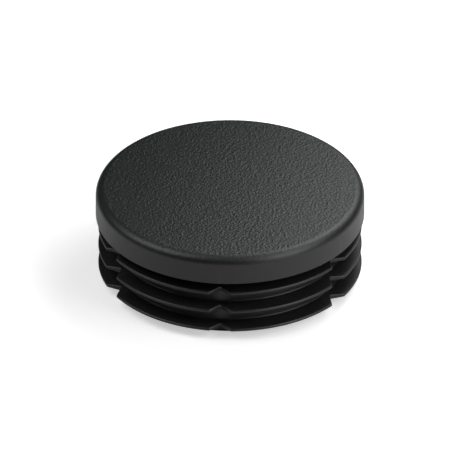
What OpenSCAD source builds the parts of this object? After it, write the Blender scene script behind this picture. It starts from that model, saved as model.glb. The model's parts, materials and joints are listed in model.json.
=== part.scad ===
// Round lamella plug that closes the end of a tube.
// A flat head with a rounded edge sits on the tube's end. Below it a hollow core carries thin, tapered
// lamellae, and V notches split each lamella into tongues that bend as the plug is pressed in.
// It is moulded in one piece. The core's open end stands on the plane z = 0, centred on the Z axis.

/* [Head] */
// Diameter of the head, the same as the outside of the tube
head_d = 45; // [42:0.5:60]
// Height of the head, from its seat on the tube's end to its flat top
head_h = 5; // [4:0.1:8]
// Radius of the head's upper edge
head_edge_r = 1.5; // [0.5:0.1:3]

/* [Core] */
// Outside diameter of the core
core_d = 38.4; // [36:0.1:39.4]
// Wall of the core at its open end
core_wall = 1.9; // [1.2:0.1:3]
// Length of core below the rim of the last lamella
core_tail = 1.85; // [1.5:0.05:6]
// Radius of the core's outer edge at its open end
core_end_r = 0.5; // [0.2:0.1:0.8]

/* [Hollow] */
// Thickness of the plate that closes the hollow under the head's top
plate_t = 2.5; // [1.5:0.1:3.5]
// Draft of the hollow's wall, in degrees
hollow_draft = 1; // [0.25:0.25:2]
// Radius between the hollow's wall and its ceiling
hollow_corner_r = 1.2; // [0.5:0.1:2.5]
// Diameter of the gate mark in the middle of the ceiling
gate_d = 3; // [1:0.1:5]
// Height that the gate mark stands proud of the ceiling
gate_h = 0.4; // [0.2:0.1:1]

/* [Lamellae] */
// Number of lamellae along the core
lamella_count = 3; // [1:1:6]
// Diameter over the rims of the lamellae
lamella_d = 44.1; // [43.6:0.1:48]
// Distance from one lamella to the next
lamella_pitch = 3.6; // [2.5:0.05:6]
// Clear height between the head's seat and the rim of the first lamella
lamella_gap = 2; // [1.5:0.05:4]
// Thickness of a lamella at its rim
rim_t = 0.45; // [0.3:0.05:0.8]
// Slope of a lamella's upper face, which rises towards the core, in degrees
upper_slope = 5; // [0:0.5:10]
// Slope of a lamella's lower face, which falls towards the core, in degrees
lower_slope = 10; // [0:0.5:12]
// Radius where the lamellae and the head meet the core
root_r = 0.3; // [0.1:0.05:0.4]

/* [Notches] */
// Number of notches round each lamella
notch_count = 6; // [3:1:12]
// Width of a notch between its walls at the rim
notch_w = 3.9; // [2.5:0.1:6]
// Depth of a notch from the rim to its rounded root
notch_depth = 1.85; // [1:0.05:2]
// Radius of a notch's root
notch_root_r = 0.5; // [0.2:0.05:0.8]
// Radius of the corners between a notch's walls and the rim
notch_corner_r = 0.45; // [0.1:0.05:0.8]

/* [Hidden] */
$fn = 180;

head_r = head_d / 2;
core_r = core_d / 2;
lamella_r = lamella_d / 2;

// Heights: the seat is the head's lower face, and the rims are counted down from it
seat_z = lamella_gap + (lamella_count - 1) * lamella_pitch + rim_t + core_tail;
top_z = seat_z + head_h;
ceiling_z = top_z - plate_t;
rim_tops = [for (i = [0 : lamella_count - 1]) seat_z - lamella_gap - i * lamella_pitch];

// How far a cut runs past the face that it opens
run_out = 1;

// Heights that a lamella's faces gain from the rim to the core
upper_rise = (lamella_r - core_r) * tan(upper_slope);
lower_fall = (lamella_r - core_r) * tan(lower_slope);

// A notch is drawn about the centre of its root, with the radius along Y. Its walls are tangent to the
// root and lean out to the corners at the rim.
root_y = lamella_r - notch_depth + notch_root_r;
rim_corner = [notch_w / 2, sqrt(pow(lamella_r, 2) - pow(notch_w / 2, 2)) - root_y];
wall_lean = acos(notch_root_r / norm(rim_corner)) - atan2(rim_corner.y, rim_corner.x);
wall_run = norm(rim_corner) + run_out;

// The round corner at the rim, in the frame of the right-hand wall, which runs along Y.
// It is tangent to the wall and meets the rim at a small angle.
rim_meet = 20;
plug_axis = root_y * [sin(wall_lean), -cos(wall_lean)];
corner_reach = lamella_r - notch_corner_r * cos(rim_meet);
corner_x = notch_root_r + notch_corner_r;
corner_y = plug_axis.y + sqrt(pow(corner_reach, 2) - pow(corner_x - plug_axis.x, 2));
corner = [corner_x, corner_y];
corner_ray = (corner - plug_axis) / corner_reach;

// Height of a root circle's centre over the line where a sloping face meets the core
function corner_rise(slope) = root_r * (1 / cos(slope) - tan(slope));

// Half section of the head: a disc whose upper edge is a quarter circle
module head_section() {
    translate([0, seat_z]) {
        square([head_r - head_edge_r, head_h]);
        square([head_r, head_h - head_edge_r]);
        translate([head_r - head_edge_r, head_h - head_edge_r])
            circle(head_edge_r);
    }
}

// Half section of the core and the lamellae before the grooves are cut, with the core's end rounded
module shank_section() {
    translate([0, core_end_r])
        square([lamella_r, seat_z - core_end_r]);
    square([core_r - core_end_r, core_end_r]);
    translate([core_r - core_end_r, core_end_r])
        circle(core_end_r);
}

// Half section of the hollow: a drafted wall, a round corner and the gate mark under the ceiling
module hollow_section() {
    mouth_r = core_r - core_wall;
    bend_z = ceiling_z - hollow_corner_r;
    bend_x = mouth_r - bend_z * tan(hollow_draft) - hollow_corner_r / cos(hollow_draft);
    wall_h = ceiling_z + run_out;
    difference() {
        union() {
            translate([bend_x, bend_z]) {
                circle(hollow_corner_r);
                translate([-bend_x, 0])
                    square([bend_x, hollow_corner_r]);
                rotate([0, 0, hollow_draft])
                    translate([0, -wall_h])
                        square([hollow_corner_r, wall_h]);
            }
            translate([0, -run_out])
                square([bend_x + hollow_corner_r / 2, bend_z + run_out]);
        }
        translate([0, ceiling_z - gate_h])
            square([gate_d / 2, gate_h + run_out]);
    }
}

// Half section of the groove above lamella i, or below the last one: its floor is the core, its sides
// are the faces that bound it, and its two inner corners are round
module groove_section(i) {
    first = i == 0;
    last = i == lamella_count;
    over_slope = first ? 0 : lower_slope;
    over_z = first ? seat_z : rim_tops[i - 1] - rim_t - lower_fall;
    under_slope = last ? 0 : upper_slope;
    under_z = last ? -run_out : rim_tops[i] + upper_rise;
    bend_x = core_r + root_r;
    over_y = over_z - corner_rise(over_slope);
    under_y = under_z + corner_rise(under_slope);
    floor_run = (over_y - under_y) * 2 / 3;
    groove_corner(bend_x, over_y, over_slope, floor_run, 1);
    groove_corner(bend_x, under_y, under_slope, floor_run, -1);
    far_x = lamella_r + run_out;
    polygon([
        [bend_x - root_r / 2, under_y],
        [far_x, under_y - (far_x - bend_x) * tan(under_slope) - root_r / 2],
        [far_x, over_y + (far_x - bend_x) * tan(over_slope) + root_r / 2],
        [bend_x - root_r / 2, over_y]
    ]);
}

// One inner corner of a groove: a disc, a run along the core's wall, and a run along the sloping face.
// The face is above the disc (side 1) or below it (side -1).
module groove_corner(x, y, slope, floor_run, side) {
    face_run = lamella_r - core_r + run_out;
    translate([x, y]) {
        circle(root_r);
        translate([-root_r, side > 0 ? -floor_run : 0])
            square([root_r, floor_run]);
        rotate([0, 0, side * slope])
            translate([0, side > 0 ? 0 : -root_r])
                square([face_run, root_r]);
    }
}

// Plan of one notch about the centre of its root: a disc, a leaning wall on each side, and a round corner
// where each wall meets the rim
module notch_plan() {
    circle(notch_root_r);
    for (side = [0, 1])
        mirror([side, 0, 0])
            rotate([0, 0, -wall_lean]) {
                square([notch_root_r, wall_run]);
                difference() {
                    polygon([[notch_root_r, corner.y], corner, corner + (notch_corner_r + run_out) * corner_ray]);
                    translate(corner)
                        circle(notch_corner_r);
                }
            }
    open_y = wall_run + run_out;
    polygon([[0, -notch_root_r / 2], [open_y * tan(wall_lean), open_y], [-open_y * tan(wall_lean), open_y]]);
}

// The notches of all the lamellae, cut in line from below the last one to between the first and the head.
// One of them faces the front, -Y.
module notches() {
    cut_h = seat_z - lamella_gap / 2 + run_out;
    for (i = [0 : notch_count - 1])
        rotate([0, 0, 180 + i * 360 / notch_count])
            translate([0, root_y, -run_out])
                linear_extrude(height = cut_h)
                    notch_plan();
}

// The whole plug, moulded in black polyethylene
module lamella_plug() {
    color("#2f3130")
        difference() {
            rotate_extrude()
                difference() {
                    union() {
                        head_section();
                        shank_section();
                    }
                    for (i = [0 : lamella_count])
                        groove_section(i);
                    hollow_section();
                }
            notches();
        }
}

lamella_plug();
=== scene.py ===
import json
import math

import bmesh
import bpy
from mathutils import Matrix, Vector


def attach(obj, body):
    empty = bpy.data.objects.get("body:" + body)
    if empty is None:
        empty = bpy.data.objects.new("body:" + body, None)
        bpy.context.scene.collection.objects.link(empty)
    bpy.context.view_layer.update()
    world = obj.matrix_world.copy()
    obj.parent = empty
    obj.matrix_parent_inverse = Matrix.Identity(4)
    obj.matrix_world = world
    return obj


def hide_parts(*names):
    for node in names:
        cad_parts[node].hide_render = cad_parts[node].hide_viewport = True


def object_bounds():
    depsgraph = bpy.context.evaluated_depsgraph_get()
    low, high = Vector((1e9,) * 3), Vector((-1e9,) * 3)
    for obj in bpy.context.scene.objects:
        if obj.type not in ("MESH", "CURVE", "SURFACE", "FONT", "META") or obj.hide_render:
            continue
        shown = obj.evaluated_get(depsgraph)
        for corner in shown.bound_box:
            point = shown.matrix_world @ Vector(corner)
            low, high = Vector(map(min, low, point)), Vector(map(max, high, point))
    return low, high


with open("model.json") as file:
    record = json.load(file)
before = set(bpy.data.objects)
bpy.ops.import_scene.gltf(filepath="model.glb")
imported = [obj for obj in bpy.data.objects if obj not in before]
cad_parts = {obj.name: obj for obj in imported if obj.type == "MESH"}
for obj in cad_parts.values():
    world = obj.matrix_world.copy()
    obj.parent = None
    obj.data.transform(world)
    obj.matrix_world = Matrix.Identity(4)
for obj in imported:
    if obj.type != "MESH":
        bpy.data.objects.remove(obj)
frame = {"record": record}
cad_low, cad_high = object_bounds()

# Rim of a lamella, in plan
# The lamellae are thin flanges of the same black polyethylene as the rest. V notches with a round root
# split each rim into tongues, which bend one by one as the plug is pushed into its tube.
MM = 0.001
UPRIGHT = (0, 0, 1)
mounts = {mount["name"]: mount for mount in frame["record"]["mounts"]}
rim_r = mounts["lamella_rims"]["dims"]["r_mm"] * MM
notch_count = 6
notch_w = 3.6 * MM
notch_depth = 1.68 * MM
notch_root_r = 0.25 * MM
notch_corner_r = 0.45 * MM
root_arc_steps, wall_steps, corner_arc_steps, rim_arc_steps = 5, 3, 4, 24

# The front notch faces -Y: its walls are tangent to the root's circle and lean out to the rim
root_y = rim_r - notch_depth + notch_root_r
rim_corner = Vector((notch_w / 2, math.sqrt(rim_r**2 - (notch_w / 2) ** 2) - root_y))
lean = math.acos(notch_root_r / rim_corner.length) - math.atan2(rim_corner.y, rim_corner.x)
across_wall = Vector((math.cos(lean), math.sin(lean), 0))
along_wall = Vector((math.sin(lean), -math.cos(lean), 0))
root_centre = Vector((0, -root_y, 0))

# The round corner touches the wall from the tongue's side, and the rim from inside
corner_off = notch_root_r + notch_corner_r
corner_reach = rim_r - notch_corner_r
wall_l = math.sqrt(corner_reach**2 - (corner_off - root_y * math.sin(lean)) ** 2) - root_y * math.cos(lean)
corner_centre = root_centre + across_wall * corner_off + along_wall * wall_l
corner_azimuth = math.atan2(corner_centre.y, corner_centre.x)
tongue_middle = math.pi / notch_count - math.pi / 2

plug = bmesh.new()


def sweep(vert, centre, angle, steps):
    """Sweep a vertex along an arc round an upright line, and return the arc's last vertex."""
    arc = bmesh.ops.spin(plug, geom=[vert], cent=centre, axis=UPRIGHT, angle=angle, steps=steps)
    return arc["geom_last"][0]


tip = bmesh.ops.create_vert(plug, co=root_centre + Vector((0, notch_root_r, 0)))["vert"][0]
tip = sweep(tip, root_centre, lean - math.pi / 2, root_arc_steps)
for step in range(wall_steps):
    run = bmesh.ops.extrude_vert_indiv(plug, verts=[tip])
    tip = run["verts"][0]
    bmesh.ops.translate(plug, verts=[tip], vec=along_wall * wall_l / wall_steps)
tip = sweep(tip, corner_centre, corner_azimuth - (lean - math.pi), corner_arc_steps)
tip = sweep(tip, (0, 0, 0), tongue_middle - corner_azimuth, rim_arc_steps)

weld = 0.001 * MM
bmesh.ops.mirror(plug, geom=plug.verts[:] + plug.edges[:], matrix=Matrix(), merge_dist=weld, axis="X")
bmesh.ops.spin(
    plug,
    geom=plug.verts[:] + plug.edges[:],
    axis=UPRIGHT,
    angle=math.tau * (notch_count - 1) / notch_count,
    steps=notch_count - 1,
    use_duplicate=True,
)
bmesh.ops.remove_doubles(plug, verts=plug.verts[:], dist=weld)

# Each vertex keeps its place on the notched rim, and gets a bearing for its place on a circle, so that a
# circle can open into a rim. The bearings are averaged over neighbours, so that their steps change smoothly.
neighbours = 5
rim_x = plug.verts.layers.float.new("rim_x")
rim_y = plug.verts.layers.float.new("rim_y")
circle_azimuth = plug.verts.layers.float.new("circle_azimuth")
ordered = sorted(plug.verts, key=lambda vert: math.atan2(vert.co.y, vert.co.x))
azimuths = [math.atan2(vert.co.y, vert.co.x) for vert in ordered]
for step, vert in enumerate(ordered):
    laps = [divmod(step + shift, len(ordered)) for shift in range(-neighbours, neighbours + 1)]
    vert[circle_azimuth] = sum(azimuths[place] + math.tau * lap for lap, place in laps) / len(laps)
    vert[rim_x], vert[rim_y] = vert.co.xy

# Head
# The head is a thick disc with a generous radius round its top. It covers the cut end of the tube, which
# its flat lower face sits on, and it is moulded in one with the core below.
head_r = min(cad_high.x, cad_high.y)
top_z = cad_high.z
seat_z = mounts["head_seat"]["pos_m"][2]
head_edge_r = 1.5 * MM
seat_edge_r = 0.12 * MM


def to_circle(verts, radius, z):
    """Put a ring of vertices on a circle at height z."""
    for vert in verts:
        azimuth = vert[circle_azimuth]
        vert.co = (radius * math.cos(azimuth), radius * math.sin(azimuth), z)


def next_ring(edges):
    """Extrude a closed loop of edges, and return the new loop's edges and vertices."""
    made = bmesh.ops.extrude_edge_only(plug, edges=edges)["geom"]
    verts = [item for item in made if isinstance(item, bmesh.types.BMVert)]
    ring = set(verts)
    loop = [item for item in made if isinstance(item, bmesh.types.BMEdge) and set(item.verts) <= ring]
    return loop, verts


def next_circle(edges, radius, z):
    """Extrude a closed loop of edges to a circle at height z."""
    loop, verts = next_ring(edges)
    to_circle(verts, radius, z)
    return loop


def round_off(edges, radius, turn, segments):
    """Round a loop of edges, where the surface turns by an angle, to a radius."""
    bmesh.ops.bevel(
        plug,
        geom=edges,
        offset=radius * math.tan(turn / 2),
        offset_type="OFFSET",
        segments=segments,
        profile=0.5,
        affect="EDGES",
        material=-1,
        clamp_overlap=False,
    )


square_turn = math.pi / 2
head_top = plug.edges[:]
to_circle(plug.verts[:], head_r, top_z)
bmesh.ops.edgeloop_fill(plug, edges=head_top)
head_foot = next_circle(head_top, head_r, seat_z)

# Core and lamellae
# The core is a tube, open below, that fills most of the bore. Each lamella is a wedge round it, thin and
# supple at the rim and thicker at the root, where a small radius blends it into the core.
core_r = 19.2 * MM
lamella_count = 3
lamella_pitch = 3.6 * MM
rim_t = 0.45 * MM
upper_slope = math.radians(5)
lower_slope = math.radians(10)
root_r = 0.3 * MM
notch_undercut = 0.16
rim_edge_r = 0.25 * MM
rim_foot_r = 0.12 * MM
rims = mounts["lamella_rims"]
first_rim_z = rims["pos_m"][2] + rims["dims"]["length_mm"] * MM / 2


def next_rim(edges, z, slope, undercut):
    """Extrude a closed loop of edges to the rim at height z, on a cone that rises to the core. The undercut
    is the share by which the notches are deeper than in plan."""
    loop, verts = next_ring(edges)
    for vert in verts:
        place = Vector((vert[rim_x], vert[rim_y]))
        depth = (rim_r - place.length) * (1 + undercut)
        place.length = rim_r - depth
        vert.co = (*place, z + depth * math.tan(slope))
    return loop


# The notches' walls lean back a little under the upper edges of the tongues
seat_root = next_circle(head_foot, core_r, seat_z)
loop = seat_root
upper_roots, lower_roots, rim_tops, rim_feet = [], [], [], []
for lamella in range(lamella_count):
    rim_top_z = first_rim_z - lamella * lamella_pitch
    rim_foot_z = rim_top_z - rim_t
    loop = next_circle(loop, core_r, rim_top_z + (rim_r - core_r) * math.tan(upper_slope))
    upper_roots += loop
    loop = next_rim(loop, rim_top_z, upper_slope, 0)
    rim_tops += loop
    loop = next_rim(loop, rim_foot_z, -lower_slope, notch_undercut)
    rim_feet += loop
    loop = next_circle(loop, core_r, rim_foot_z - (rim_r - core_r) * math.tan(lower_slope))
    lower_roots += loop

# Hollow
# The core is hollow up into the head, so that the walls are about even and the top doesn't sink as the
# plastic cools. The wall has a little draft, and the gate left a low round mark on the ceiling.
core_wall = 1.9 * MM
core_end_r = 0.5 * MM
mouth_edge_r = 0.2 * MM
plate_t = 2.5 * MM
hollow_draft = math.radians(1)
hollow_corner_r = 1.2 * MM
gate_r = 1.5 * MM
gate_h = 0.4 * MM
gate_edge_r = 0.12 * MM
mouth_r = core_r - core_wall
ceiling_z = top_z - plate_t

core_end = next_circle(loop, core_r, cad_low.z)
mouth = next_circle(core_end, mouth_r, cad_low.z)
ceiling_edge = next_circle(mouth, mouth_r - ceiling_z * math.tan(hollow_draft), ceiling_z)
gate_foot = next_circle(ceiling_edge, gate_r, ceiling_z)
gate_top = next_circle(gate_foot, gate_r, ceiling_z - gate_h)
bmesh.ops.edgeloop_fill(plug, edges=gate_top)

round_off(head_top, head_edge_r, square_turn, segments=12)
round_off(head_foot, seat_edge_r, square_turn, segments=3)
round_off(seat_root, root_r, square_turn, segments=4)
round_off(upper_roots, root_r, square_turn - upper_slope, segments=4)
round_off(lower_roots, root_r, square_turn - lower_slope, segments=4)
round_off(rim_tops, rim_edge_r, square_turn - upper_slope, segments=4)
round_off(rim_feet, rim_foot_r, square_turn - lower_slope, segments=3)
round_off(core_end, core_end_r, square_turn, segments=6)
round_off(mouth, mouth_edge_r, square_turn + hollow_draft, segments=3)
round_off(ceiling_edge, hollow_corner_r, square_turn - hollow_draft, segments=8)
round_off(gate_foot, gate_edge_r, square_turn, segments=3)
round_off(gate_top, gate_edge_r, square_turn, segments=3)
bmesh.ops.recalc_face_normals(plug, faces=plug.faces[:])
for face in plug.faces:
    face.smooth = True

moulding_mesh = bpy.data.meshes.new("plug_moulding")
plug.to_mesh(moulding_mesh)
plug.free()
moulding = bpy.data.objects.new("plug_moulding", moulding_mesh)
bpy.context.collection.objects.link(moulding)
even_shading = moulding.modifiers.new("even_shading", "WEIGHTED_NORMAL")
even_shading.mode = "FACE_AREA"
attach(moulding, "root")
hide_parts("lamella_plug")

# Finish of the moulding
# Black-dyed polyethylene. The mould is eroded to a fine leathery grain over the head's top, which dies
# out round the edge, and is smooth elsewhere, so that the sides have a satin sheen.
smooth_black = (0.0099, 0.0101, 0.0100, 1)
grained_black = (0.0084, 0.0114, 0.0099, 1)
grain_size = 0.39 * MM
grain_depth = 0.13 * MM
grain_end, grain_full = 0.8 * MM, 0.4 * MM
edge_fade = 0.4 * MM
handling_size = 4 * MM


class Signal:
    """An output of a shader node. Arithmetic on signals adds Math nodes."""

    def __init__(self, tree, socket=None):
        self.tree = tree
        self.socket = socket

    def node(self, kind, settings, sockets):
        """Add a node with its settings and its sockets' values or links, and return its first output."""
        made = self.tree.nodes.new(kind)
        for name, value in settings.items():
            setattr(made, name, value)
        for name, value in sockets.items():
            if isinstance(value, Signal):
                self.tree.links.new(value.socket, made.inputs[name])
            else:
                made.inputs[name].default_value = value
        return Signal(self.tree, made.outputs[0] if made.outputs else None)

    def __getitem__(self, name):
        return Signal(self.tree, self.socket.node.outputs[name])

    def math(self, operation, first, second):
        return self.node("ShaderNodeMath", {"operation": operation}, {0: first, 1: second})

    def __add__(self, other):
        return self.math("ADD", self, other)

    def __radd__(self, other):
        return self.math("ADD", other, self)

    def __sub__(self, other):
        return self.math("SUBTRACT", self, other)

    def __rsub__(self, other):
        return self.math("SUBTRACT", other, self)

    def __mul__(self, other):
        return self.math("MULTIPLY", self, other)

    def __rmul__(self, other):
        return self.math("MULTIPLY", other, self)


def new_material(name):
    """Make an empty node material, and return it with a signal that adds nodes to it."""
    material = bpy.data.materials.new(name)
    material.use_nodes = True
    material.node_tree.nodes.clear()
    return material, Signal(material.node_tree)


polyethylene, shader = new_material("black_polyethylene")
place = shader.node("ShaderNodeTexCoord", {}, {})["Object"]
height = shader.node("ShaderNodeSeparateXYZ", {}, {"Vector": place})["Z"]
on_top = shader.node(
    "ShaderNodeMapRange",
    {"interpolation_type": "SMOOTHSTEP"},
    {"Value": height, "From Min": top_z - grain_end, "From Max": top_z - grain_full},
)
across = shader.node("ShaderNodeVectorMath", {"operation": "MULTIPLY"}, {0: place, 1: (1, 1, 0)})
radius = shader.node("ShaderNodeVectorMath", {"operation": "LENGTH"}, {0: across})["Value"]
flat_r = head_r - head_edge_r
past_flat = shader.node(
    "ShaderNodeMapRange",
    {"interpolation_type": "SMOOTHSTEP"},
    {"Value": radius, "From Min": flat_r, "From Max": flat_r + edge_fade},
)
cells = shader.node(
    "ShaderNodeTexVoronoi",
    {"feature": "SMOOTH_F1"},
    {"Vector": place, "Scale": 1 / grain_size, "Smoothness": 0.5},
)["Distance"]
wander = shader.node(
    "ShaderNodeTexNoise",
    {},
    {"Vector": place, "Scale": 0.8 / grain_size, "Detail": 1.0, "Roughness": 0.5, "Distortion": 0.5},
)
grain = (cells * 0.45 + wander * 0.95 - 0.64) * on_top * (1 - past_flat * 0.65)
relief = shader.node("ShaderNodeBump", {}, {"Strength": 1.0, "Distance": grain_depth, "Height": grain})
black = shader.node(
    "ShaderNodeMix",
    {"data_type": "RGBA"},
    {"Factor": on_top, "A": smooth_black, "B": grained_black},
)["Result"]
handling = shader.node(
    "ShaderNodeTexNoise",
    {},
    {"Vector": place, "Scale": 1 / handling_size, "Detail": 4.0},
)
surface = shader.node(
    "ShaderNodeBsdfPrincipled",
    {},
    {
        "Base Color": black,
        "Roughness": 0.36 + on_top * 0.06 + handling * 0.08,
        "Normal": relief,
    },
)
shader.node("ShaderNodeOutputMaterial", {}, {"Surface": surface})
moulding_mesh.materials.append(polyethylene)

# Floor
# A wide sheet of matt white board under the plug. It looks white to the camera, and keeps a soft shadow
# round the plug's foot. The plug's sheen shows only a little of it.
sheet_half = 1.5
shadow_r, white_r = 30 * MM, 90 * MM
board_in_sheen = 0.03
floor_mesh = bpy.data.meshes.new("floor")
sheet = bmesh.new()
bmesh.ops.create_grid(sheet, x_segments=1, y_segments=1, size=sheet_half)
sheet.to_mesh(floor_mesh)
sheet.free()
floor = bpy.data.objects.new("floor", floor_mesh)
bpy.context.collection.objects.link(floor)
board, shader = new_material("white_board")
path = shader.node("ShaderNodeLightPath", {}, {})
place = shader.node("ShaderNodeTexCoord", {}, {})["Object"]
radius = shader.node("ShaderNodeVectorMath", {"operation": "LENGTH"}, {0: place})["Value"]
whiteness = shader.node(
    "ShaderNodeMapRange",
    {"interpolation_type": "SMOOTHSTEP"},
    {"Value": radius, "From Min": shadow_r, "From Max": white_r, "To Min": 0.5, "To Max": 1.0},
)
reflected = path["Is Glossy Ray"] + path["Is Transmission Ray"]
seen = path["Is Camera Ray"] * whiteness + reflected * board_in_sheen
matt = shader.node(
    "ShaderNodeBsdfPrincipled",
    {},
    {
        "Base Color": (0.8, 0.8, 0.8, 1),
        "Roughness": 1.0,
        "Specular IOR Level": 0.0,
        "Emission Color": seen,
        "Emission Strength": 1.0,
    },
)
shader.node("ShaderNodeOutputMaterial", {}, {"Surface": matt})
floor_mesh.materials.append(board)

# Studio light
# Soft square lamps close round the plug. Each has a bearing from the front and a height in degrees, a
# distance from the plug and a size in metres, and a brightness.
lamps = (
    ("lamp_back_right", 150, 35, 0.085, 0.06, 0.55),
    ("lamp_back_right_high", 150, 50, 0.085, 0.06, 2.3),
    ("lamp_right_high", 120, 58, 0.13, 0.08, 2.7),
    ("lamp_right_front", 60, 42, 0.13, 0.08, 2.2),
    ("lamp_right_front_low", 60, 22, 0.13, 0.08, 1.0),
    ("lamp_front_right", 45, 35, 0.13, 0.08, 0.93),
    ("lamp_front_right_low", 45, 8, 0.13, 0.08, 0.83),
    ("lamp_left_front_high", -60, 55, 0.13, 0.08, 1.55),
    ("lamp_left", -75, 42, 0.13, 0.08, 2.15),
)
aim = Vector((0, 0, top_z / 2))


def bearing(azimuth, elevation):
    """Direction from the plug to a place at a bearing from the front and a height above the floor."""
    turn, rise = math.radians(azimuth), math.radians(elevation)
    return Vector((math.sin(turn) * math.cos(rise), -math.cos(turn) * math.cos(rise), math.sin(rise)))


for name, azimuth, elevation, distance, size, brightness in lamps:
    light = bpy.data.lights.new(name, "AREA")
    light.size = size
    light.energy = brightness * math.pi * size**2
    lamp = bpy.data.objects.new(name, light)
    away = bearing(azimuth, elevation)
    lamp.location = aim + away * distance
    lamp.rotation_euler = away.to_track_quat("Z", "Y").to_euler()
    bpy.context.collection.objects.link(lamp)

# The room behind is white to the camera, and dark otherwise
room_in_sheen = 0.01
world = bpy.data.worlds.new("studio")
world.use_nodes = True
world.node_tree.nodes.clear()
bpy.context.scene.world = world
shader = Signal(world.node_tree)
path = shader.node("ShaderNodeLightPath", {}, {})
reflected = path["Is Glossy Ray"] + path["Is Transmission Ray"]
seen = path["Is Camera Ray"] + reflected * room_in_sheen
dark = shader.node("ShaderNodeBackground", {}, {"Color": (0, 0, 0, 1)})
white = shader.node("ShaderNodeBackground", {}, {"Color": (1, 1, 1, 1)})
room = shader.node("ShaderNodeMixShader", {}, {0: seen, 1: dark, 2: white})
shader.node("ShaderNodeOutputWorld", {}, {"Surface": room})

# Camera
# The photograph has no perspective to speak of: it looks down at the plug from just right of a notch.
view_width = 77.0 * MM
view_middle_z = seat_z - 3.33 * MM
view_azimuth, view_elevation = 4.4, 31.97
camera_distance = 0.5
camera_data = bpy.data.cameras.new("camera")
camera_data.type = "ORTHO"
camera_data.ortho_scale = view_width
camera = bpy.data.objects.new("camera", camera_data)
back = bearing(view_azimuth, view_elevation)
camera.location = Vector((0, 0, view_middle_z)) + back * camera_distance
camera.rotation_euler = back.to_track_quat("Z", "Y").to_euler()
bpy.context.collection.objects.link(camera)
bpy.context.scene.camera = camera
bpy.context.scene.view_settings.view_transform = "Standard"
